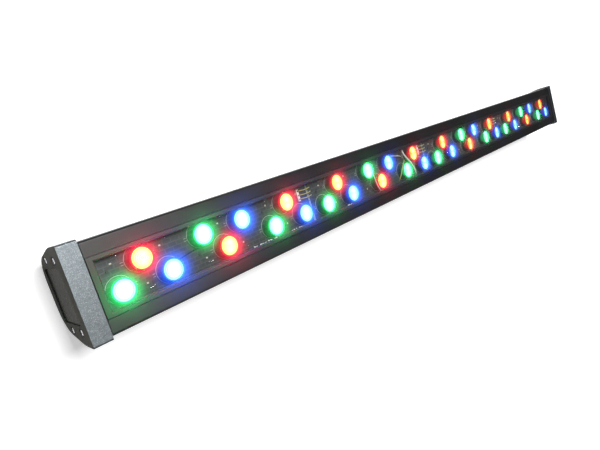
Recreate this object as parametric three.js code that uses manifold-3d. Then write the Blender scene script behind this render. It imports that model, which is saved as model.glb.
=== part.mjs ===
// LED strip batten: a one-metre stage light bar that lies on its back with the light side up.
// Millimetres. X runs along the bar, Y across it, and +Z points out of the light side.
// The origin is the middle of the back plane that the two end caps rest on.
import * as THREE from 'three';
import { mergeVertices } from 'three/addons/utils/BufferGeometryUtils.js';
import Module from 'manifold-3d';

const wasm = await Module();
wasm.setup();

// ---------------------------------------------------------------- driving dimensions
const FIT = 0.15; // clearance between pieces that touch
const EXTRA = 2; // how far a cutting tool runs past the face that it cuts

const TRIO_PITCH = 1000 / 12; // a metre of light holds twelve red, green and blue trios
const LED_PITCH = 22.6; // along the bar, inside a trio
const ROW_OFFSET = 9.75; // each row of lights from the middle line
const BOARDS = 4;
const TRIOS = 12;
const BOARD_PITCH = 250;

const HALF_LENGTH = 518.5;
const CAP_THICK = 15.4;
const CAP_HALF_WIDTH = 41.7;
const CAP_FRONT = 75.3; // the front of the caps above the back plane
const CAP_PROUD = 2.4; // the caps stand this far outside the housing

const HOUSING_HALF_LENGTH = 502;
const HOUSING_FRONT = 73.6;
const HOUSING_WALL = 2.6;
const SHELF_TOP = 56.2; // the web inside the housing that the light boards lie on
const SHELF_THICK = 4;
const CAVITY_HALF_WIDTH = 27;
const LEDGE_BOTTOM = 66.4; // the ledge under the window's edge
const LEDGE_TOP = 68.6;
const LEDGE_INNER = 22.8;
const CHANNEL_HALF_WIDTH = 25.7;
const SIDE_BAY = { inner: 29.2, outer: 36, low: 59, high: 70.2 }; // hollows beside the light bay
const WIDE = [-60, 60]; // spans that clear the whole section
const TALL = [-20, 100];

// Each ring of the window: its bottom and top, its outer half sizes and its opening's half sizes.
const SEAL = { z: [68.75, 72.25], outer: [501.8, 25.5], inner: [496, 21] };
const BEZEL = { z: [72.4, HOUSING_FRONT], outer: [501.9, 25.5], inner: [497, 22] };
const PANE = { z: [69.5, 71.5], outer: [501, 24.8] };

const BOARD = { halfWidth: 23.6, thick: 1.6, length: 249.6 };
const BOARD_BOTTOM = SHELF_TOP + FIT;
const BOARD_TOP = BOARD_BOTTOM + BOARD.thick;
const EMITTER = { radius: 3.4, height: 1.9 };
const LENS = { footRadius: 5.5, rimRadius: 10.5, foot: 60, rim: 67.6, front: 69.1 };

const PLATE = { halfWidth: 24.2, low: 10.9, high: 61.3, back: 516.25, thick: 1.2, corner: 3 };
const POCKET = { halfWidth: 24.5, low: 10.6, high: 61.6, floor: 516.1, corner: 3.3 };
const WIRING_BAY = { halfWidth: 22.4, low: 12.8, high: 59.4, corner: 2.5 };
const GASKET_OPENING = { halfWidth: 23.4, low: 11.8, high: 54, corner: 3 };
const CAP_BEVEL = 1.2;
const CAP_HOLLOW = { inset: 5.2, front: 69.5, depth: 8, bossRadius: 5 };
const SCREW_CLEARANCE = 1.9; // radius of the screw holes through the caps and gaskets
const COUNTERBORE_RADIUS = 4;
const CAP_SCREWS = [[-31.2, 26.1], [31.2, 26.1], [-30.3, 53.6], [30.3, 53.6]]; // Y and Z
const SCREW = { headRadius: 3.2, headHeight: 2.1, shankRadius: 1.4, length: 24, seat: 516.1 };
const PORT = { bossRadius: 3.3, holeRadius: 1.6 };

const DATA_IN = { y: -12, z: 48.4 };
const DATA_OUT = { y: 12, z: 48.4 };
const POWER_IN = { y: -12, z: 23.8 };
const CONTROL = { y: 12, displayZ: 29.1, buttonZ: 19, buttonPitch: 5, buttonCount: 4 };
const SOCKET = { barrelRadius: 10.2, flangeRadius: 11.5, back: 505.6, seat: 517.6, front: 518.2 };

const TRAY = { x: [-110, 450], halfWidth: 19, z: [8.6, 9.8], footY: 7, footBottom: 5.2 };
const SUPPLY = { x: [200, 430], halfWidth: 22.5, z: [11, 42], footReach: 12 };
const DRIVER = { x: [-90, 90], halfWidth: 20, z: [14, 15.6] };
const CONTROL_BOARD = { x: [510.2, 511.8], y: [1.8, 21.6], z: [14.6, 34.4] };
const FEED_HOLE = { x: -20, y: 25.2, radius: 1.7 }; // lets the lights' lead up through the shelf

const PAINT = { color: 0x2b2c2c, roughness: 0.5, metalness: 0.3 };
const CAP_PAINT = { color: 0x8c9296, roughness: 0.45, metalness: 0.5 };
const STEEL = { color: 0xc4c6c8, roughness: 0.3, metalness: 1 };
const RUBBER = { color: 0x151515, roughness: 0.8, metalness: 0 };
const CLEAR = { color: 0xe8f0f2, roughness: 0.05, metalness: 0, transparent: true, opacity: 0.3 };
const CIRCUIT = { color: 0x39443f, roughness: 0.5, metalness: 0.1 };
const BLACK_PLASTIC = { color: 0x191a1b, roughness: 0.45, metalness: 0 };
const BARE_ALUMINIUM = { color: 0xa9adb0, roughness: 0.4, metalness: 0.9 };
const CREAM_WIRE = { color: 0xd8cfc0, roughness: 0.5, metalness: 0 };
const GREY_WIRE = { color: 0x5b5e62, roughness: 0.5, metalness: 0 };

// ---------------------------------------------------------------- geometry helpers
function toSolid(geometry) {
  const bare = geometry.clone();
  bare.deleteAttribute('normal');
  bare.deleteAttribute('uv');
  const merged = mergeVertices(bare, 1e-4);
  return new wasm.Manifold(new wasm.Mesh({
    numProp: 3,
    vertProperties: new Float32Array(merged.attributes.position.array),
    triVerts: new Uint32Array(merged.index.array),
  }));
}

function toGeometry(solid) {
  const mesh = solid.getMesh();
  const geometry = new THREE.BufferGeometry();
  geometry.setAttribute('position', new THREE.BufferAttribute(mesh.vertProperties, 3));
  geometry.setIndex(new THREE.BufferAttribute(mesh.triVerts, 1));
  geometry.computeVertexNormals();
  return geometry;
}

function cut(body, ...tools) {
  return toGeometry(tools.reduce((solid, tool) => solid.subtract(toSolid(tool)), toSolid(body)));
}

function join(body, ...others) {
  return toGeometry(others.reduce((solid, other) => solid.add(toSolid(other)), toSolid(body)));
}

function box([x0, x1], [y0, y1], [z0, z1]) {
  const geometry = new THREE.BoxGeometry(x1 - x0, y1 - y0, z1 - z0);
  return geometry.translate((x0 + x1) / 2, (y0 + y1) / 2, (z0 + z1) / 2);
}

// A Y-Z outline run along X.
function prism(outline, [x0, x1]) {
  const shape = outline instanceof THREE.Shape ? outline : new THREE.Shape(outline);
  const geometry = new THREE.ExtrudeGeometry(shape, { depth: x1 - x0, bevelEnabled: false });
  return layAlongX(geometry).translate(x0, 0, 0);
}

// Turns a shape drawn in X-Y and extruded along Z so that it is drawn in Y-Z and runs along X.
function layAlongX(geometry) {
  const axes = [new THREE.Vector3(0, 1, 0), new THREE.Vector3(0, 0, 1), new THREE.Vector3(1, 0, 0)];
  return geometry.applyMatrix4(new THREE.Matrix4().makeBasis(...axes));
}

// A box centred on the middle line, from its half sizes along X and Y.
function centredBox([halfX, halfY], z) {
  return box([-halfX, halfX], [-halfY, halfY], z);
}

function rodX(radius, [x0, x1], y, z, sides = 16) {
  const geometry = new THREE.CylinderGeometry(radius, radius, x1 - x0, sides);
  return geometry.rotateZ(-Math.PI / 2).translate((x0 + x1) / 2, y, z);
}

function rodZ(radius, [z0, z1], x, y, sides = 16) {
  const geometry = new THREE.CylinderGeometry(radius, radius, z1 - z0, sides);
  return geometry.rotateX(Math.PI / 2).translate(x, y, (z0 + z1) / 2);
}

// A profile of [radius, x] points turned about a line along X.
function turned(profile, y, z, sides = 18) {
  const points = profile.map(([radius, x]) => new THREE.Vector2(radius, x));
  return new THREE.LatheGeometry(points, sides).rotateZ(-Math.PI / 2).translate(0, y, z);
}

function roundedRectangle({ halfWidth, low, high, corner }) {
  const shape = new THREE.Shape();
  shape.absarc(halfWidth - corner, high - corner, corner, 0, Math.PI / 2);
  shape.absarc(corner - halfWidth, high - corner, corner, Math.PI / 2, Math.PI);
  shape.absarc(corner - halfWidth, low + corner, corner, Math.PI, 1.5 * Math.PI);
  shape.absarc(halfWidth - corner, low + corner, corner, 1.5 * Math.PI, 2 * Math.PI);
  return new THREE.Shape(shape.getPoints(3));
}

function wire(points, radius, sides = 8) {
  const path = new THREE.CatmullRomCurve3(points.map((point) => new THREE.Vector3(...point)));
  const section = new THREE.Shape();
  section.absarc(0, 0, radius, 0, 2 * Math.PI);
  const round = new THREE.Shape(section.getSpacedPoints(sides).slice(0, sides));
  const steps = 2 * (points.length - 1);
  return new THREE.ExtrudeGeometry(round, { steps, bevelEnabled: false, extrudePath: path });
}

// ---------------------------------------------------------------- the D-shaped cross-section
// The right half of the section's side, from the middle of the back up to the front corner.
function sidePath() {
  const path = new THREE.CurvePath();
  const point = (y, z) => new THREE.Vector2(y, z);
  path.add(new THREE.LineCurve(point(0, 0), point(10, 0)));
  path.add(new THREE.CubicBezierCurve(point(10, 0), point(23, 0), point(33, 8.5), point(35.4, 21)));
  path.add(new THREE.CubicBezierCurve(
    point(35.4, 21), point(36.8, 30), point(CAP_HALF_WIDTH, 46), point(CAP_HALF_WIDTH, 58)));
  return path.getPoints(6);
}

function insetPath(points, distance) {
  return points.map((point, index) => {
    const before = points[Math.max(index - 1, 0)];
    const after = points[Math.min(index + 1, points.length - 1)];
    const along = after.clone().sub(before).normalize();
    return new THREE.Vector2(point.x - along.y * distance, point.y + along.x * distance);
  });
}

// The whole section, shrunk by inset, closed by a flat front at the given height.
function dSection(inset, front, cornerRadius) {
  const side = insetPath(sidePath(), inset);
  const centre = CAP_HALF_WIDTH - inset - cornerRadius;
  const corner = new THREE.Path().absarc(centre, front - cornerRadius, cornerRadius, 0, Math.PI / 2);
  const right = [...side, ...corner.getPoints(3)];
  const left = right.slice(1).reverse().map((point) => new THREE.Vector2(-point.x, point.y));
  return [...right, ...left];
}

// ---------------------------------------------------------------- housing and end caps
function housing() {
  const ends = [-HOUSING_HALF_LENGTH, HOUSING_HALF_LENGTH];
  const through = [ends[0] - EXTRA, ends[1] + EXTRA];
  const shelfBottom = SHELF_TOP - SHELF_THICK;
  const blank = toSolid(prism(dSection(CAP_PROUD, HOUSING_FRONT, 2.4), ends));
  const insideWalls = toSolid(prism(dSection(CAP_PROUD + HOUSING_WALL, HOUSING_FRONT, 1), through));
  const belowShelf = toSolid(box(through, WIDE, [0, shelfBottom]));
  const lightBay = box(through, [-CAVITY_HALF_WIDTH, CAVITY_HALF_WIDTH], [SHELF_TOP, LEDGE_BOTTOM]);
  const windowSlot = box(through, [-LEDGE_INNER, LEDGE_INNER], [LEDGE_BOTTOM - 1, CAP_FRONT]);
  const channel = box(through, [-CHANNEL_HALF_WIDTH, CHANNEL_HALF_WIDTH], [LEDGE_TOP, CAP_FRONT]);
  const { inner, outer, low, high } = SIDE_BAY;
  const sideBays = [box(through, [-outer, -inner], [low, high]), box(through, [inner, outer], [low, high])];
  let solid = blank.subtract(insideWalls.intersect(belowShelf));
  for (const tool of [lightBay, windowSlot, channel, ...sideBays]) {
    solid = solid.subtract(toSolid(tool));
  }
  for (const [y, z] of CAP_SCREWS) {
    const boss = toSolid(rodX(PORT.bossRadius, ends, y, z, 10)).intersect(blank);
    solid = solid.add(boss).subtract(toSolid(rodX(PORT.holeRadius, through, y, z, 8)));
  }
  const { x, y, radius } = FEED_HOLE;
  const feedHole = rodZ(radius, [shelfBottom - EXTRA, SHELF_TOP + EXTRA], x, y, 12);
  return toGeometry(solid.subtract(toSolid(feedHole)));
}

// The far cap, which is also the near cap turned half round: a D-shaped casting with a pocket in
// its outer face, a wiring bay right through it, and a hollow behind its walls.
function endCap() {
  const innerFace = HALF_LENGTH - CAP_THICK;
  const blank = new THREE.ExtrudeGeometry(new THREE.Shape(dSection(0, CAP_FRONT, 1.8)), {
    depth: CAP_THICK, bevelThickness: CAP_BEVEL, bevelSize: CAP_BEVEL, bevelOffset: -CAP_BEVEL,
    bevelSegments: 2,
  });
  layAlongX(blank).translate(innerFace - CAP_BEVEL, 0, 0);
  const innerBevel = toSolid(box([innerFace - 3 * CAP_BEVEL, innerFace], WIDE, TALL));
  const { inset, front, depth, bossRadius } = CAP_HOLLOW;
  let hollow = toSolid(prism(dSection(inset, front, 1), [innerFace - EXTRA, innerFace + depth]));
  for (const [y, z] of CAP_SCREWS) {
    const bossSpan = [innerFace - 2 * EXTRA, innerFace + depth + EXTRA];
    hollow = hollow.subtract(toSolid(rodX(bossRadius, bossSpan, y, z, 10)));
  }
  const tools = [
    prism(roundedRectangle(POCKET), [POCKET.floor, HALF_LENGTH + EXTRA]),
    prism(roundedRectangle(WIRING_BAY), [innerFace - EXTRA, HALF_LENGTH]),
  ];
  for (const [y, z] of CAP_SCREWS) {
    tools.push(rodX(COUNTERBORE_RADIUS, [SCREW.seat, HALF_LENGTH + EXTRA], y, z, 14));
    tools.push(rodX(SCREW_CLEARANCE, [innerFace - EXTRA, HALF_LENGTH], y, z, 8));
  }
  return cut(toGeometry(toSolid(blank).subtract(innerBevel).subtract(hollow)), ...tools);
}

function endGasket() {
  const squeeze = 0.1;
  const span = [HOUSING_HALF_LENGTH + squeeze, HALF_LENGTH - CAP_THICK - squeeze];
  const through = [span[0] - EXTRA, span[1] + EXTRA];
  const opening = prism(roundedRectangle(GASKET_OPENING), through);
  const holes = CAP_SCREWS.map(([y, z]) => rodX(SCREW_CLEARANCE, through, y, z, 8));
  return cut(prism(dSection(CAP_PROUD, HOUSING_FRONT, 2.4), span), opening, ...holes);
}

function capScrew() {
  const { headRadius, headHeight, shankRadius, length } = SCREW;
  const profile = [[0, -length], [shankRadius, -length], [shankRadius, 0], [headRadius, 0],
    [headRadius, 0.9], [2.1, headHeight], [0, headHeight]];
  const recess = [[3.4, 0.8], [0.8, 3.4]].map(([wide, tall]) =>
    box([headHeight - 1.1, headHeight + EXTRA], [-wide / 2, wide / 2], [-tall / 2, tall / 2]));
  return cut(turned(profile, 0, 0, 10), ...recess);
}

// ---------------------------------------------------------------- window
function windowBezel() {
  return cut(centredBox(BEZEL.outer, BEZEL.z), centredBox(BEZEL.inner, TALL));
}

// A soft ring with a groove inside it that grips the pane's edge.
function windowSeal() {
  const groove = centredBox(PANE.outer.map((half) => half + FIT), [PANE.z[0] - FIT, PANE.z[1] + FIT]);
  return cut(centredBox(SEAL.outer, SEAL.z), groove, centredBox(SEAL.inner, TALL));
}

function windowPane() {
  return centredBox(PANE.outer, PANE.z);
}

// ---------------------------------------------------------------- lights
// Three lights of one trio about its middle; the outer two sit on the low-Y row.
function trioPlaces() {
  return [-1, 0, 1].map((step) => [step * LED_PITCH, step === 0 ? ROW_OFFSET : -ROW_OFFSET]);
}

// Every third trio, counted from the second, has its two outer lights on the high-Y row.
function trioIsTurned(trio) {
  return trio % 3 === 1;
}

function trioX(trio) {
  return (trio - (TRIOS - 1) / 2) * TRIO_PITCH;
}

// Solid collimator lenses, tied at their feet by two bars that stand on the board.
function lensTrio() {
  const { footRadius, rimRadius, foot, rim, front } = LENS;
  const profile = [[0, foot], [footRadius, foot], [rimRadius, rim], [rimRadius, front], [0, front]];
  const points = profile.map(([radius, z]) => new THREE.Vector2(radius, z));
  const lens = new THREE.LatheGeometry(points, 12).rotateX(Math.PI / 2);
  const places = trioPlaces();
  const lenses = places.map(([x, y]) => lens.clone().translate(x, y, 0));
  const bars = [-1, 1].map((side) => {
    const span = Math.hypot(LED_PITCH, 2 * ROW_OFFSET);
    const reach = span / 2 - 4.4;
    const bar = box([-reach, reach], [-1.6, 1.6], [BOARD_TOP + FIT, foot + 1.4]);
    bar.rotateZ(-side * Math.atan2(2 * ROW_OFFSET, LED_PITCH));
    return bar.translate(side * LED_PITCH / 2, 0, 0);
  });
  return join(lenses[0], ...lenses.slice(1), ...bars);
}

function ledBoard() {
  const { halfWidth, thick, length } = BOARD;
  const blank = centredBox([length / 2, halfWidth], [BOARD_BOTTOM, BOARD_BOTTOM + thick]);
  const span = [BOARD_TOP - 0.5, BOARD_TOP + EMITTER.height];
  const emitters = [];
  for (const trio of [0, 1, 2]) {
    const side = trioIsTurned(trio) ? -1 : 1;
    for (const [x, y] of trioPlaces()) {
      emitters.push(rodZ(EMITTER.radius, span, (trio - 1) * TRIO_PITCH + x, side * y, 6));
    }
  }
  return join(blank, ...emitters);
}

// ---------------------------------------------------------------- electronics in the lower bay
function electronicsTray() {
  const sheet = box(TRAY.x, [-TRAY.halfWidth, TRAY.halfWidth], TRAY.z);
  const feet = [-TRAY.footY, TRAY.footY].map((y) =>
    box(TRAY.x, [y - 0.8, y + 0.8], [TRAY.footBottom, TRAY.z[0] + 0.5]));
  return join(sheet, ...feet);
}

function powerSupply() {
  const { x, halfWidth, z, footReach } = SUPPLY;
  const can = prism(roundedRectangle({ halfWidth, low: z[0], high: z[1], corner: 2 }), x);
  const foot = box([x[0] - footReach, x[1] + footReach], [-12, 12], [TRAY.z[1] + FIT, z[0] + 1]);
  return join(can, foot);
}

function driverBoard() {
  const { x, halfWidth, z } = DRIVER;
  const board = box(x, [-halfWidth, halfWidth], z);
  const posts = [[-80, -14], [-80, 14], [80, -14], [80, 14]].map(([px, py]) =>
    rodZ(2.5, [TRAY.z[1] + FIT, z[0] + 0.5], px, py, 8));
  const chips = [-45, -15, 15, 45].map((cx) => box([cx - 5, cx + 5], [-15, -5], [z[1] - 0.5, 18]));
  const capacitors = [-30, 0, 30].map((cx) => rodZ(5, [z[1] - 0.5, 30], cx, 8, 12));
  const terminals = [-84, 72].map((cx) => box([cx, cx + 12], [-8, 16], [z[1] - 0.5, 25]));
  return join(board, ...posts, ...chips, ...capacitors, ...terminals);
}

// ---------------------------------------------------------------- far end: connectors and controls
function plateBlank() {
  return prism(roundedRectangle(PLATE), [PLATE.back, PLATE.back + PLATE.thick]);
}

function buttonY(index) {
  return CONTROL.y + (index - (CONTROL.buttonCount - 1) / 2) * CONTROL.buttonPitch;
}

function connectorPlate() {
  const through = [PLATE.back - EXTRA, PLATE.back + PLATE.thick + EXTRA];
  const holes = [DATA_IN, DATA_OUT, POWER_IN].map(({ y, z }) => rodX(10.4, through, y, z, 18));
  for (let index = 0; index < CONTROL.buttonCount; index += 1) {
    holes.push(rodX(2.15, through, buttonY(index), CONTROL.buttonZ, 10));
  }
  const { y, displayZ } = CONTROL;
  holes.push(box(through, [y - 9.2, y + 9.2], [displayZ - 4.2, displayZ + 4.2]));
  return cut(plateBlank(), ...holes);
}

// The outline of a round panel socket with an open recess of the given radius and floor.
function socketProfile(recessRadius, floor) {
  const { barrelRadius, flangeRadius, back, seat, front } = SOCKET;
  return [[0, back], [barrelRadius, back], [barrelRadius, seat], [flangeRadius, seat],
    [flangeRadius, front], [recessRadius, front], [recessRadius, floor], [0, floor]];
}

function threeAround(radius, start) {
  return [0, 1, 2].map((step) => {
    const angle = start + step * Math.PI / 2;
    return [radius * Math.cos(angle), radius * Math.sin(angle)];
  });
}

function dataInSocket() {
  const floor = 508.2;
  const pins = threeAround(3.8, Math.PI).map(([y, z]) => rodX(1.2, [floor - 0.5, 515.6], y, z, 6));
  return join(turned(socketProfile(8.2, floor), 0, 0), ...pins);
}

function dataOutSocket() {
  const { barrelRadius, flangeRadius, back, seat, front } = SOCKET;
  const floor = 508.6;
  const profile = [[0, back], [barrelRadius, back], [barrelRadius, seat], [flangeRadius, seat],
    [flangeRadius, front], [9.5, front], [9.5, floor], [8.3, floor], [8.3, 517.8], [0, 517.8]];
  const holes = threeAround(3.8, Math.PI).map(([y, z]) => rodX(1.5, [floor, front + EXTRA], y, z, 8));
  const latchSlot = box([512, front + EXTRA], [-2.3, 2.3], [8.35, 10.35]);
  return cut(turned(profile, 0, 0), ...holes, latchSlot);
}

function dataOutLatch() {
  const tab = box([513.8, 518.4], [-2, 2], [8.75, 10.05]);
  const ribs = [517.2, 516.2].map((x) => box([x - 0.25, x + 0.25], [-3, 3], [9.85, 10.6]));
  return cut(tab, ...ribs);
}

function powerInlet() {
  const floor = 508.4;
  const core = turned([[0, floor - 0.5], [6.2, floor - 0.5], [6.2, 516.6], [0, 516.6]], 0, 0, 16);
  const contacts = threeAround(3.9, Math.PI).map(([y, z]) =>
    box([floor + 1, 520], [y - 0.9, y + 0.9], [z - 1.4, z + 1.4]));
  const body = join(turned(socketProfile(8.8, floor), 0, 0), core);
  return cut(body, ...contacts);
}

function controlBoard() {
  const { x, y, z } = CONTROL_BOARD;
  const switches = [];
  for (let index = 0; index < CONTROL.buttonCount; index += 1) {
    const middle = buttonY(index);
    switches.push(box([x[1] - 0.5, 512.7], [middle - 1.9, middle + 1.9],
      [CONTROL.buttonZ - 1.9, CONTROL.buttonZ + 1.9]));
  }
  return join(box(x, y, z), ...switches);
}

function displayModule() {
  const { y, displayZ } = CONTROL;
  return box([CONTROL_BOARD.x[1] + FIT, 516.9], [y - 9, y + 9], [displayZ - 4, displayZ + 4]);
}

// One push button: a domed cap, a collar that the plate holds in, and a stem to its switch.
function menuButton() {
  return turned([[0, 513.7], [1.2, 513.7], [1.2, 515.3], [2.35, 515.3], [2.35, 516.1], [1.9, 516.1],
    [1.9, 517.8], [1.4, 518.3], [0, 518.3]], 0, 0, 10);
}

// ---------------------------------------------------------------- wires
// Wires in the light bay: the points run from a pad on a board to the slot along the board's edge.
const FEED_WIRES = [
  { radius: 1.2, points: [[-56, 22.2, 60.2], [-60, 12, 65.2], [-52, 1, 66.2], [-46.5, -8, 66.2],
    [-42, -17, 65], [-38, -22.2, 60.4]] },
  { radius: 0.6, points: [[-54, 4.5, 58.9], [-58, 4, 62], [-66, 2.6, 66.2], [-76.5, -5.6, 68.1],
    [-81.6, -11.6, 68.3], [-85, -17.5, 66.8], [-83, -22.4, 60.5]] },
  { radius: 0.5, points: [[-90, 17.5, 58.9], [-86, 16.6, 62], [-77, 14.6, 63], [-68, 12.8, 62.4],
    [-58.5, 10.4, 58.9]] },
  { radius: 0.6, points: [[-131, 3.5, 58.9], [-135.5, 2.5, 64.5], [-138, -5.5, 67.9],
    [-136.6, -13.5, 67.9], [-131.5, -20, 66], [-124, -22.4, 60.5]] },
];

// A short bridge over each joint between two light boards.
function boardLink() {
  return wire([[-14, 13.5, 58.9], [-12, 13.5, 62.4], [-5, 12.6, 64], [3, 12.6, 63.4],
    [9, 13.5, 61.6], [10.5, 13.5, 58.9]], 0.7);
}

const LEADS = {
  mains_lead: { radius: 2.4, style: GREY_WIRE,
    points: [[505.2, -12, 23.8], [490, -12, 23.4], [462, -8, 25], [445, -6, 26], [430.4, -6, 26]] },
  dc_lead: { radius: 1.8, style: GREY_WIRE,
    points: [[199.6, 8, 24], [180, 8, 25], [140, 6, 23], [105, 4, 21], [84.4, 4, 20.5]] },
  data_lead: { radius: 1.6, style: GREY_WIRE,
    points: [[505.2, -12, 48.4], [485, -13, 47.4], [440, -16, 46.6], [320, -16, 46.6],
      [200, -15, 46.4], [130, -9, 34], [100, -4, 23], [84.4, -3, 21]] },
  control_lead: { radius: 1.4, style: GREY_WIRE,
    points: [[509.8, 12, 24], [500, 12, 27], [470, 14, 42], [440, 16, 46.6], [320, 16, 46.6],
      [200, 15, 46.4], [130, 15, 34], [100, 12, 23], [84.4, 11.5, 21]] },
  led_feed_lead: { radius: 0.8, style: CREAM_WIRE,
    points: [[-84.8, 10, 22], [-94, 12, 28], [-84, 18, 38], [-45, 24, 43],
      [FEED_HOLE.x - 2, FEED_HOLE.y, 47], [FEED_HOLE.x, FEED_HOLE.y, 51],
      [FEED_HOLE.x, FEED_HOLE.y, 56], [FEED_HOLE.x, 24.8, 60], [FEED_HOLE.x, 22, 61.5]] },
};

// ---------------------------------------------------------------- assembly
const batten = new THREE.Group();

function add(name, geometry, style, place = {}) {
  const mesh = new THREE.Mesh(geometry, new THREE.MeshStandardMaterial(style));
  mesh.name = name;
  mesh.position.set(...(place.at ?? [0, 0, 0]));
  mesh.rotation.z = place.turn ?? 0;
  (place.group ?? batten).add(mesh);
}

function addEnds() {
  const cap = endCap();
  const gasket = endGasket();
  const screw = capScrew();
  for (const [end, turn] of [['near', Math.PI], ['far', 0]]) {
    const group = new THREE.Group();
    group.rotation.z = turn;
    batten.add(group);
    add(`end_cap_${end}`, cap, CAP_PAINT, { group });
    add(`end_gasket_${end}`, gasket, RUBBER, { group });
    CAP_SCREWS.forEach(([y, z], index) => {
      add(`cap_screw_${end}_${index + 1}`, screw, STEEL, { group, at: [SCREW.seat + FIT, y, z] });
    });
  }
  add('blank_plate_near', plateBlank(), BLACK_PLASTIC, { turn: Math.PI });
}

function addLights() {
  const board = ledBoard();
  for (let index = 0; index < BOARDS; index += 1) {
    add(`led_board_${index + 1}`, board, CIRCUIT,
      { at: [(index - (BOARDS - 1) / 2) * BOARD_PITCH, 0, 0] });
  }
  const lenses = lensTrio();
  for (let trio = 0; trio < TRIOS; trio += 1) {
    const turn = trioIsTurned(trio) ? Math.PI : 0;
    const number = String(trio + 1).padStart(2, '0');
    add(`lens_trio_${number}`, lenses, CLEAR, { at: [trioX(trio), 0, 0], turn });
  }
  FEED_WIRES.forEach(({ radius, points }, index) => {
    add(`feed_wire_${index + 1}`, wire(points, radius), CREAM_WIRE);
  });
  const link = boardLink();
  [-1, 0, 1].forEach((joint, index) => {
    add(`board_link_${index + 1}`, link, CREAM_WIRE, { at: [joint * BOARD_PITCH, 0, 0] });
  });
}

function addConnectorEnd() {
  add('connector_plate_far', connectorPlate(), BLACK_PLASTIC);
  add('data_in_socket', dataInSocket(), BARE_ALUMINIUM, { at: [0, DATA_IN.y, DATA_IN.z] });
  add('data_out_socket', dataOutSocket(), BLACK_PLASTIC, { at: [0, DATA_OUT.y, DATA_OUT.z] });
  add('data_out_latch', dataOutLatch(), STEEL, { at: [0, DATA_OUT.y, DATA_OUT.z] });
  add('power_inlet', powerInlet(), BLACK_PLASTIC, { at: [0, POWER_IN.y, POWER_IN.z] });
  add('control_board', controlBoard(), CIRCUIT);
  add('display_module', displayModule(), BLACK_PLASTIC);
  const button = menuButton();
  for (let index = 0; index < CONTROL.buttonCount; index += 1) {
    add(`menu_button_${index + 1}`, button, BLACK_PLASTIC,
      { at: [0, buttonY(index), CONTROL.buttonZ] });
  }
}

add('housing_extrusion', housing(), PAINT);
addEnds();
add('window_bezel', windowBezel(), PAINT);
add('window_seal', windowSeal(), RUBBER);
add('window_pane', windowPane(), CLEAR);
addLights();
add('electronics_tray', electronicsTray(), BARE_ALUMINIUM);
add('power_supply', powerSupply(), BARE_ALUMINIUM);
add('driver_board', driverBoard(), CIRCUIT);
addConnectorEnd();
for (const [name, { radius, style, points }] of Object.entries(LEADS)) {
  add(name, wire(points, radius), style);
}

export default batten;
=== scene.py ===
"""The looks of the LED strip batten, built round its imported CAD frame.

Metres, in the frame's own axes: X along the bar, Y across it and +Z out of the light side.
"""

import math
import random

import bmesh
import bpy
from mathutils import Matrix, Vector
from mathutils.geometry import tessellate_polygon


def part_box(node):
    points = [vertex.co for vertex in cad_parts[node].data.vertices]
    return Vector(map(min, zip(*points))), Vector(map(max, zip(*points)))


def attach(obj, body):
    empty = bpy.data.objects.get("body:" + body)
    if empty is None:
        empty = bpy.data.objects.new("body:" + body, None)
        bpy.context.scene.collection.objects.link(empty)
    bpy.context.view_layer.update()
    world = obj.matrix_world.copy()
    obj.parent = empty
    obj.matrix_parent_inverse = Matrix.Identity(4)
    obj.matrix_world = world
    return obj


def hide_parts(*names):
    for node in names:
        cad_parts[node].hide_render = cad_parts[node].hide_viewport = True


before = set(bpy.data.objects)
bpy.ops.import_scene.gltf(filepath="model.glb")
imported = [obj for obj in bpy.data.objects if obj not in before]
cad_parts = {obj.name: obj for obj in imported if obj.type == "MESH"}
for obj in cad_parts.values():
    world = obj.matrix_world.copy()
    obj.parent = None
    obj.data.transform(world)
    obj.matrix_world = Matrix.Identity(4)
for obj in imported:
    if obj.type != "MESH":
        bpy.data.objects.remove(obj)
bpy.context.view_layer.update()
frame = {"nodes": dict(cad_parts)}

BATTEN = "batten"
MM = 0.001
TAU = 2 * math.pi

# ---------------------------------------- places read from the frame
TRIOS = 12
BOARDS = 4
LENS_RADIUS = 10.5 * MM
LENS_HEIGHT = 9.1 * MM
trio_low, trio_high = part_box("lens_trio_01")
LED_PITCH = (trio_high.x - trio_low.x) / 2 - LENS_RADIUS
ROW_OFFSET = (trio_high.y - trio_low.y) / 2 - LENS_RADIUS
LENS_FRONT = trio_high.z
PANE_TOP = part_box("window_pane")[1].z
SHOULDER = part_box("housing_extrusion")[1].z
BOARD_THICKNESS = 1.6 * MM  # without the parts on it
BOARD_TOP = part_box("led_board_1")[0].z + BOARD_THICKNESS
CAP_LOW, CAP_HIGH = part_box("end_cap_far")
CAP_INNER = CAP_LOW.x
CAP_OUTER = CAP_HIGH.x
CAP_FRONT = CAP_HIGH.z

COLOURS = ("green", "red", "blue")  # the order in every trio, towards +X


def middle(node):
    low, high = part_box(node)
    return (low + high) / 2


def light_places():
    """Each light's number, colour and place on the X-Y plane."""
    places = []
    for trio in range(TRIOS):
        side = -1 if trio % 3 == 1 else 1
        centre = middle(f"lens_trio_{trio + 1:02d}").x
        for step in (-1, 0, 1):
            y = ROW_OFFSET if step == 0 else -ROW_OFFSET
            places.append((len(places) + 1, COLOURS[step + 1], centre + step * LED_PITCH, side * y))
    return places


# ---------------------------------------- materials
def new_material(name):
    material = bpy.data.materials.new(name)
    material.use_nodes = True
    nodes = material.node_tree.nodes
    return material, nodes, material.node_tree.links, nodes["Principled BSDF"]


def object_coordinates(nodes):
    return nodes.new("ShaderNodeTexCoord").outputs["Object"]


def noise(nodes, links, scale, detail=4, roughness=0.6, vector=None):
    texture = nodes.new("ShaderNodeTexNoise")
    texture.inputs["Scale"].default_value = scale
    texture.inputs["Detail"].default_value = detail
    texture.inputs["Roughness"].default_value = roughness
    links.new(vector or object_coordinates(nodes), texture.inputs["Vector"])
    return texture.outputs["Fac"]


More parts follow.
